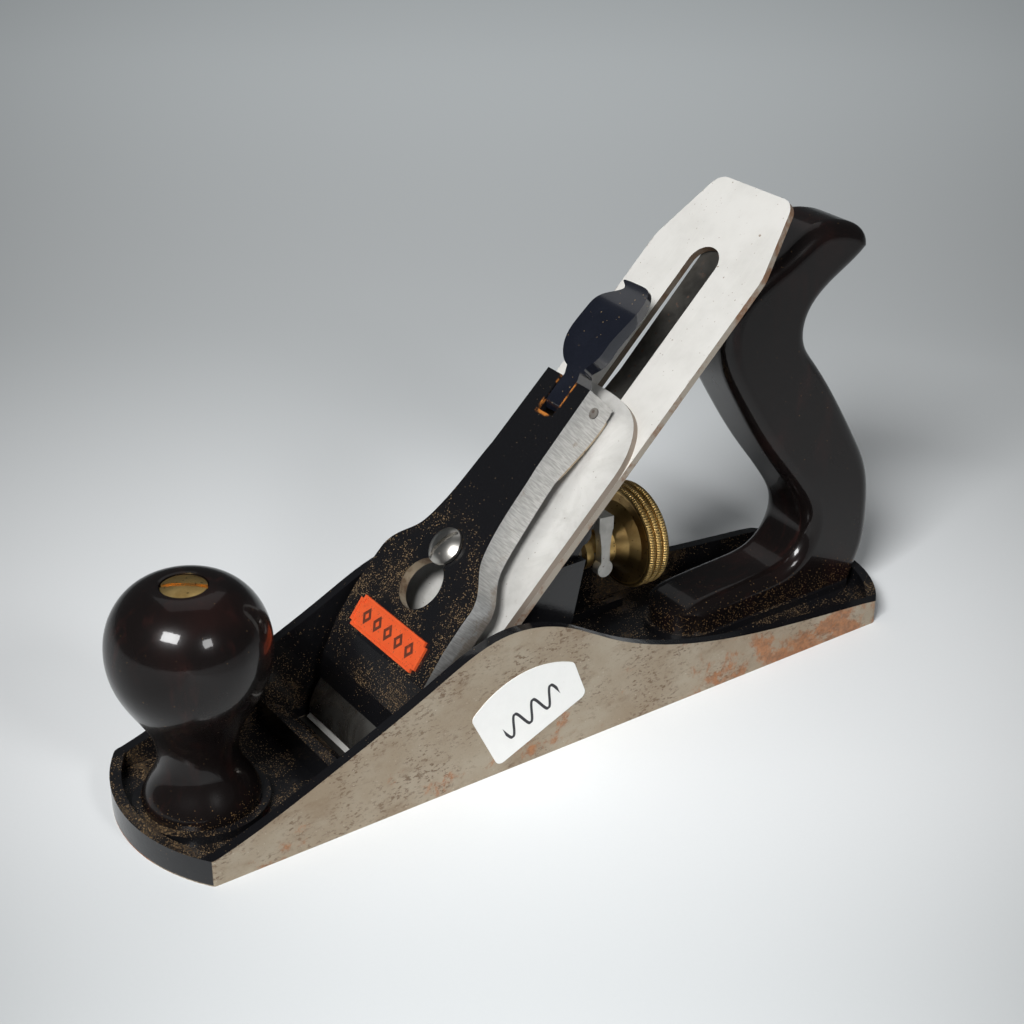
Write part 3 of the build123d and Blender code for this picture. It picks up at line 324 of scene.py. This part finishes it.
# ---------------------------------------------------------------- steels
def make_steel(name, light, dark, rough, metallic, rust, pits=0.08):
    f = Finish(name)
    mottle = f.noise(120, 4, 0.6)
    brush = f.noise(1, 3, 0.6, f.scaled(f.pos, (300, 300, 300)))
    base = f.blend(f.step(mottle, 0.35, 0.7), light, dark)
    sheen = tuple(min(1, c * 1.15) for c in light)
    base = f.blend(f.math("MULTIPLY", f.step(brush, 0.45, 0.7), 0.35), base, sheen)
    spots = f.flecks(900, pits, 0.4)
    field = f.step(f.noise(85, 5, 0.65, shift=4.0), 0.70 - rust * 0.3, 0.78 - rust * 0.3)
    brown = f.either(f.math("MULTIPLY", spots, 0.7), field)
    base = f.blend(f.math("MULTIPLY", brown, 0.8), base, RUST_DARK)
    f.shade(Base_Color=base, Metallic=f.math("MULTIPLY_ADD", brown, -0.5, metallic))
    f.shade(Roughness=f.lerp(brown, f.lerp(mottle, rough * 0.8, rough * 1.2), 0.8))
    f.bump(brush, 0.10, 0.0002)
    return f


def bed_axes(f):
    """Distance up the bed and above it, in metres, as sockets."""
    x = f.math("SUBTRACT", f.axis(f.pos, "X"), BED_FOOT_X)
    z = f.axis(f.pos, "Z")
    s = f.math("MULTIPLY", f.math("ADD", x, z), S)
    n = f.math("MULTIPLY", f.math("SUBTRACT", z, x), S)
    return s, n


def off_bed(f):
    """How much the surface faces straight off the bed, from -1 to 1, as a socket."""
    return f.math("MULTIPLY", f.math("SUBTRACT", f.axis(f.nrm, "Z"), f.axis(f.nrm, "X")), S)


def make_iron():
    f = Finish("ground_tool_steel")
    s, _ = bed_axes(f)
    y = f.axis(f.pos, "Y")
    mottle = f.noise(60, 5, 0.6)
    across = f.noise(1, 4, 0.6, f.scaled(f.pos, (90, 1500, 90)))
    face = f.blend(f.step(mottle, 0.36, 0.70), (0.80, 0.785, 0.745), (0.69, 0.675, 0.635))
    face = f.blend(f.math("MULTIPLY", f.step(across, 0.5, 0.75), 0.2), face, (0.86, 0.85, 0.81))
    spots = f.flecks(900, 0.045, 0.32)
    dots = f.flecks(2300, 0.06, 0.34, shift=3.0)
    stain = f.step(f.noise(48, 5, 0.7, shift=2.4), 0.66, 0.78)
    brown = f.either(f.either(spots, f.math("MULTIPLY", dots, 0.7)), f.math("MULTIPLY", stain, 0.22))
    # the edges of the plate and of its slot are grey-brown
    facing = f.math("ABSOLUTE", off_bed(f))
    edge_face = f.step(facing, 0.80, 0.55)
    high = f.step(s, 0.120, 0.170)
    field = f.math("ADD", f.noise(150, 5, 0.7, shift=6.0), f.math("MULTIPLY", high, 0.10))
    edge_rust = f.step(field, 0.50, 0.66)
    slot = f.step(f.math("ABSOLUTE", y), 0.0098, 0.0092)
    rim = f.step(f.math("ABSOLUTE", y), 0.0216, 0.0222)
    rim = f.math("MULTIPLY", rim, f.step(f.noise(190, 5, 0.7, shift=9.0), 0.54, 0.68))
    face = f.blend(f.math("MULTIPLY", brown, 0.75), face, (0.22, 0.14, 0.085))
    face = f.blend(f.math("MULTIPLY", rim, 0.55), face, (0.30, 0.19, 0.11))
    side = f.blend(f.math("MULTIPLY", edge_rust, 0.85), (0.34, 0.30, 0.25), (0.21, 0.095, 0.04))
    side = f.blend(f.math("MULTIPLY", slot, 0.75), side, (0.055, 0.036, 0.022))
    f.shade(Base_Color=f.blend(edge_face, face, side))
    f.shade(Metallic=f.lerp(edge_face, 0.25, 0.30))
    f.shade(Roughness=f.lerp(f.either(edge_face, brown), f.lerp(mottle, 0.36, 0.48), 0.7))
    f.bump(f.math("ADD", across, f.math("MULTIPLY", spots, -0.8)), 0.12, 0.0002)
    return f


def make_lever_cap():
    """Black face with flecks, bright ground sides, bare brown iron inside the keyhole."""
    f = Finish("lever_cap_finish", IOR=1.5)
    s, n = bed_axes(f)
    y = f.math("ABSOLUTE", f.axis(f.pos, "Y"))
    lower = f.step(s, 0.080, 0.045)
    black, dust, _ = japanning(f, 0.9, lower)
    upright = f.step(f.math("ABSOLUTE", off_bed(f)), 0.45, 0.30)
    outer = f.step(y, 0.0080, 0.0084)
    ground = f.both(upright, outer)
    hole = f.both(upright, f.flip(outer), f.step(s, 0.0400, 0.0405), f.step(s, 0.0650, 0.0640))
    lines = f.tree.nodes.new("ShaderNodeCombineXYZ")
    f.set(lines, X=f.math("MULTIPLY", s, 2600), Y=f.math("MULTIPLY", n, 260))
    brush = f.noise(1, 3, 0.55, lines.outputs[0], distortion=0.3)
    stain = f.noise(150, 5, 0.7, shift=3.0)
    low = f.math("MULTIPLY", f.both(f.step(s, 0.075, 0.048), f.step(n, 0.0160, 0.0090)), 0.22)
    stained = f.step(f.math("ADD", stain, low), 0.58, 0.72)
    metal = f.blend(f.step(brush, 0.34, 0.70), (0.33, 0.325, 0.315), (0.52, 0.515, 0.50))
    metal = f.blend(f.math("MULTIPLY", stained, 0.55), metal, (0.20, 0.145, 0.09))
    bare = f.blend(f.step(stain, 0.42, 0.62), (0.42, 0.34, 0.24), (0.17, 0.105, 0.06))
    notch = f.both(f.step(y, 0.0040, 0.0035), f.step(s, 0.1028, 0.1034),
                   f.step(n, 0.0158, 0.0164), f.step(f.noise(260, 4, 0.7), 0.46, 0.60))
    colour = f.blend(hole, f.blend(ground, black, metal), bare)
    f.shade(Base_Color=f.blend(notch, colour, (0.42, 0.15, 0.03)))
    f.shade(Metallic=f.math("ADD", f.math("MULTIPLY", ground, 0.55), f.math("MULTIPLY", hole, 0.5)))
    f.shade(Roughness=f.lerp(f.either(ground, hole), f.lerp(dust, 0.20, 0.75),
                             f.lerp(brush, 0.28, 0.42)))
    first = f.bump(f.lerp(ground, f.noise(450, 3), brush), 0.10, 0.0002)
    f.bump(dust, 0.4, 0.0002, first)
    return f


def make_cap_iron():
    """Satin like the iron on the flat, darker and more mirror-like over the hump."""
    f = Finish("polished_spring_steel")
    s, _ = bed_axes(f)
    hump = f.step(s, 0.040, 0.030)
    blotch = f.noise(75, 5, 0.68, distortion=0.8)
    flat = f.blend(f.step(blotch, 0.38, 0.68), (0.66, 0.65, 0.62), (0.54, 0.53, 0.50))
    dark = f.blend(f.step(blotch, 0.40, 0.62), (0.42, 0.40, 0.365), (0.17, 0.15, 0.13))
    base = f.blend(hump, flat, dark)
    facing = f.math("ABSOLUTE", off_bed(f))
    edge = f.both(f.step(facing, 0.75, 0.45), f.flip(hump))
    grime = f.step(f.noise(220, 5, 0.7, shift=5.0), 0.58, 0.72)
    dots = f.flecks(1900, 0.05, 0.36)
    dirt = f.either(f.math("MULTIPLY", grime, f.lerp(hump, 0.2, 0.6)), dots)
    base = f.blend(f.math("MULTIPLY", dirt, 0.7), base, (0.16, 0.095, 0.05))
    base = f.blend(f.math("MULTIPLY", edge, 0.8), base, (0.17, 0.11, 0.065))
    f.shade(Base_Color=base, Metallic=f.lerp(hump, 0.3, 0.9))
    f.shade(Roughness=f.lerp(hump, 0.42, f.lerp(f.step(blotch, 0.4, 0.62), 0.16, 0.34)))
    f.bump(f.noise(700, 3), 0.06, 0.0002)
    return f


def make_cam():
    """Blue-black polished steel."""
    f = Finish("blued_cam", IOR=1.5, Coat_Weight=0.6, Coat_Roughness=0.05)
    haze = f.noise(90, 4, 0.6)
    y = f.axis(f.pos, "Y")
    # bright line on the far edge: bare steel where the bluing is worn through, and partly a painted
    # highlight for the light that edge catches; brown dirt underneath
    far = f.step(y, 0.0055, 0.0072)
    worn_edge_and_highlight = f.both(far, f.step(f.math("ABSOLUTE", f.axis(f.nrm, "Y")), 0.25, 0.45),
                  f.step(f.noise(260, 3, 0.6), 0.34, 0.50))
    under = f.step(off_bed(f), -0.2, -0.6)
    base = f.blend(f.step(haze, 0.4, 0.7), (0.0065, 0.0078, 0.0135), (0.009, 0.0105, 0.017))
    base = f.blend(f.math("MULTIPLY", under, 0.7), base, (0.028, 0.018, 0.011))
    specks = f.flecks(1500, 0.07, 0.30)
    base = f.blend(f.math("MULTIPLY", specks, 0.7), base, SAWDUST_PALE)
    f.shade(Base_Color=f.blend(worn_edge_and_highlight, base, (0.66, 0.62, 0.56)))
    f.shade(Metallic=f.math("MULTIPLY", worn_edge_and_highlight, 0.8))
    f.shade(Roughness=f.lerp(f.either(specks, worn_edge_and_highlight), 0.15, 0.4))
    f.bump(f.noise(420, 3), 0.04, 0.0002)
    return f


def make_panel():
    """Red-orange enamel with a plain row of dark lozenges inside the raised frame."""
    f = Finish("orange_enamel", IOR=1.5)
    s, _ = bed_axes(f)
    y = f.axis(f.pos, "Y")
    wear = f.step(f.noise(380, 4, 0.7), 0.56, 0.68)
    base = f.blend(f.noise(240, 3), (0.60, 0.070, 0.018), (0.74, 0.115, 0.030))
    pitch, row_s = 0.0052, 0.0328  # between lozenges, and their row's place up the bed
    cell = f.math("SUBTRACT", f.math("FRACT", f.math("MULTIPLY_ADD", y, 1 / pitch, 10.5)), 0.5)
    reach = f.math("ADD", f.math("MULTIPLY", f.math("ABSOLUTE", cell), pitch),
                   f.math("MULTIPLY", f.math("ABSOLUTE", f.math("SUBTRACT", s, row_s)), 0.78))
    inner = f.step(f.math("ABSOLUTE", y), 0.0132, 0.0130)
    lozenge = f.both(inner, f.step(reach, 0.00205, 0.00185))
    heart = f.step(reach, 0.00085, 0.00070)
    base = f.blend(f.math("MULTIPLY", f.both(lozenge, f.flip(heart)), 0.9), base, (0.045, 0.022, 0.015))
    specks = f.flecks(2400, 0.28, 0.42)
    base = f.blend(f.math("MULTIPLY", specks, 0.6), base, (0.12, 0.06, 0.03))
    f.shade(Base_Color=f.blend(f.math("MULTIPLY", wear, 0.45), base, (0.30, 0.045, 0.016)))
    f.shade(Roughness=f.lerp(specks, 0.34, 0.8))
    f.bump(f.either(specks, f.noise(900, 3)), 0.15, 0.0002)
    return f


def make_paper():
    """White sticker with a plain pen squiggle."""
    f = Finish("sticker_paper")
    middle_x, middle_z = -0.0182, 0.0158
    x = f.math("SUBTRACT", f.axis(f.pos, "X"), middle_x)
    z = f.math("SUBTRACT", f.axis(f.pos, "Z"), middle_z)
    base = f.blend(f.noise(400, 4), (0.80, 0.80, 0.78), (0.86, 0.86, 0.84))
    along = f.math("ADD", f.math("MULTIPLY", x, 0.92), f.math("MULTIPLY", z, 0.39))
    over = f.math("SUBTRACT", f.math("MULTIPLY", z, 0.92), f.math("MULTIPLY", x, 0.39))
    turns, height = 2 * math.pi / 0.0062, 0.0030
    phase = f.math("MULTIPLY", along, turns)
    wave = f.math("MULTIPLY", f.math("SINE", phase), height)
    slope = f.math("MULTIPLY", f.math("COSINE", phase), height * turns)
    steep = f.math("SQRT", f.math("MULTIPLY_ADD", slope, slope, 1.0))
    gap = f.math("DIVIDE", f.math("ABSOLUTE", f.math("SUBTRACT", over, wave)), steep)
    ink = f.both(f.step(gap, 0.00048, 0.00036), f.step(f.math("ABSOLUTE", along), 0.0095, 0.0093))
    grime = f.step(f.noise(300, 5, 0.7), 0.66, 0.76)
    base = f.blend(f.math("MULTIPLY", grime, 0.3), base, (0.45, 0.36, 0.25))
    f.shade(Base_Color=f.blend(ink, base, (0.02, 0.02, 0.025)), Roughness=0.62)
    f.bump(f.noise(1100, 4), 0.10, 0.0002)
    return f


dress(make_casting(), "body_casting")
dress(make_enamel("japanned_frog", 0.9), "frog")
dress(make_wood("knob_wood", (260, 260, 42), 0.006), "front_knob")
dress(make_wood("tote_wood", (150, 420, 40), 0.010), "tote")
dress(make_brass("knurled_brass", True), "depth_nut")
dress(make_brass("aged_brass", False), "knob_nut", "tote_nut")
dress(make_iron(), "iron")
dress(make_cap_iron(), "cap_iron")
dress(make_lever_cap(), "lever_cap")
dress(make_cam(), "cam_lever")
dress(make_panel(), "name_panel")
dress(make_paper(), "lot_label")
dress(make_steel("cast_yoke", (0.50, 0.49, 0.46), (0.30, 0.29, 0.27), 0.45, 0.7, 0.3), "yoke")
dress(make_steel("screw_steel", (0.58, 0.56, 0.52), (0.40, 0.385, 0.36), 0.30, 1.0, 0.25),
      "lever_cap_screw")
dress(make_steel("dull_steel", (0.30, 0.285, 0.26), (0.18, 0.165, 0.15), 0.45, 0.8, 0.4),
      "knob_bolt", "tote_bolt", "frog_screws", "frog_washers", "frog_clip", "frog_clip_screw",
      "frog_adjusting_screw", "depth_stud", "yoke_pin", "cam_pin", "spring_rivet", "lateral_rivet",
      "cap_iron_screw", "lateral_disc")
dress(make_steel("lever_steel", (0.11, 0.105, 0.095), (0.055, 0.052, 0.047), 0.38, 0.7, 0.25, 0.16),
      "lateral_lever")
dress(make_steel("spring_steel", (0.40, 0.33, 0.24), (0.26, 0.20, 0.14), 0.35, 0.9, 0.4),
      "lever_cap_spring")

# ---------------------------------------------------------------- smooth faces and eased edges
# width of the bevel on each node's sharp edges, in mm
SOFT_EDGE = {"body_casting": 0.35, "lever_cap": 0.3, "iron": 0.15, "cap_iron": 0.15,
             "cam_lever": 0.5, "yoke": 0.3, "depth_nut": 0.15, "tote": 0.8,
             "lever_cap_screw": 0.2, "frog": 0.3, "lateral_lever": 0.25}
for name, obj in nodes.items():
    for poly in obj.data.polygons:
        poly.use_smooth = True
    obj.data.set_sharp_from_angle(angle=math.radians(28))
    if name in SOFT_EDGE:
        rounding = obj.modifiers.new("soft_edge", "BEVEL")
        rounding.width = SOFT_EDGE[name] / 1000
        rounding.segments = 2
        rounding.limit_method = "ANGLE"
        rounding.angle_limit = math.radians(32)
        rounding.harden_normals = True

# ---------------------------------------------------------------- floor and light
floor_mesh = bpy.data.meshes.new("floor")
bm = bmesh.new()
bmesh.ops.create_grid(bm, x_segments=1, y_segments=1, size=4.0)
bm.to_mesh(floor_mesh)
bm.free()
floor = bpy.data.objects.new("floor", floor_mesh)
scene.collection.objects.link(floor)
paper = Finish("backdrop_paper", Roughness=0.9, Specular_IOR_Level=0.1)
# painted light and shade: tones, standing in for the lamps' fall-off, run away from the camera's side of
# the floor and fall off to both sides of it
px, py = paper.axis(paper.pos, "X"), paper.axis(paper.pos, "Y")
away = paper.math("ADD", paper.math("MULTIPLY", px, 0.573), paper.math("MULTIPLY", py, 0.82))
aside = paper.math("SUBTRACT", paper.math("MULTIPLY", px, 0.82), paper.math("MULTIPLY", py, 0.573))
spread = paper.math("DIVIDE", aside, paper.math("ADD", away, 0.53))
# painted shade: the floor darkens towards both sides
painted_falloff = paper.math("MULTIPLY_ADD", paper.math("MULTIPLY", spread, spread), -3.6, 1.0, clamp=True)
painted_falloff = paper.math("MAXIMUM", painted_falloff, 0.62)
painted_floor_tone = paper.blend(paper.step(away, 0.00, 0.29), (0.87, 0.89, 0.90), (0.60, 0.625, 0.635))
painted_floor_tone = paper.blend(paper.step(away, -0.03, -0.13), painted_floor_tone, (0.70, 0.725, 0.735))
grain = paper.math("MULTIPLY_ADD", paper.noise(900, 2), 0.02, -0.01)
# the strip of floor under the mouth, painted dark: painted shade where the sole shades the floor
painted_mouth_shade = paper.both(paper.step(paper.math("ABSOLUTE", paper.math("SUBTRACT", px, MOUTH_X)), 0.0120, 0.0100),
                   paper.step(paper.math("ABSOLUTE", py), 0.0262, 0.0245))
painted_floor_tone = paper.blend(painted_mouth_shade, painted_floor_tone, (0.045, 0.042, 0.038))
paper.shade(Base_Color=paper.blend(paper.math("ADD", painted_falloff, grain, clamp=True), (0.0, 0.0, 0.0), painted_floor_tone))
# painted light: the floor also glows, stronger towards the back and fading to the sides
paper.shade(Emission_Color=(0.92, 1.0, 1.03), Emission_Strength=paper.both(
    painted_falloff, paper.math("MULTIPLY", paper.step(away, 0.25, 0.75), 0.15)))
dress(paper, "floor")


def soft_box(name, toward, distance, width, height, power):
    """Rectangular area light that faces the plane from the direction toward."""
    light = bpy.data.lights.new(name, "AREA")
    light.shape, light.size, light.size_y = "RECTANGLE", width, height
    light.energy = power
    obj = bpy.data.objects.new(name, light)
    scene.collection.objects.link(obj)
    toward = Vector(toward).normalized()
    obj.location = Vector((0, 0, 0.05)) + toward * distance
    obj.rotation_mode = "QUATERNION"
    obj.rotation_quaternion = toward.to_track_quat("Z", "Y")


soft_box("key", (-0.63, -0.363, 0.687), 1.3, 0.50, 0.34, 20)
soft_box("fill", (0.009, -0.847, 0.531), 1.3, 0.26, 0.26, 4)
soft_box("overhead", (0.25, 0.45, 0.85), 1.8, 1.2, 1.2, 2)
world = bpy.data.worlds.new("studio")
world.use_nodes = True
world.node_tree.nodes["Background"].inputs["Color"].default_value = (0.80, 0.86, 0.90, 1)
world.node_tree.nodes["Background"].inputs["Strength"].default_value = 0.06
scene.world = world
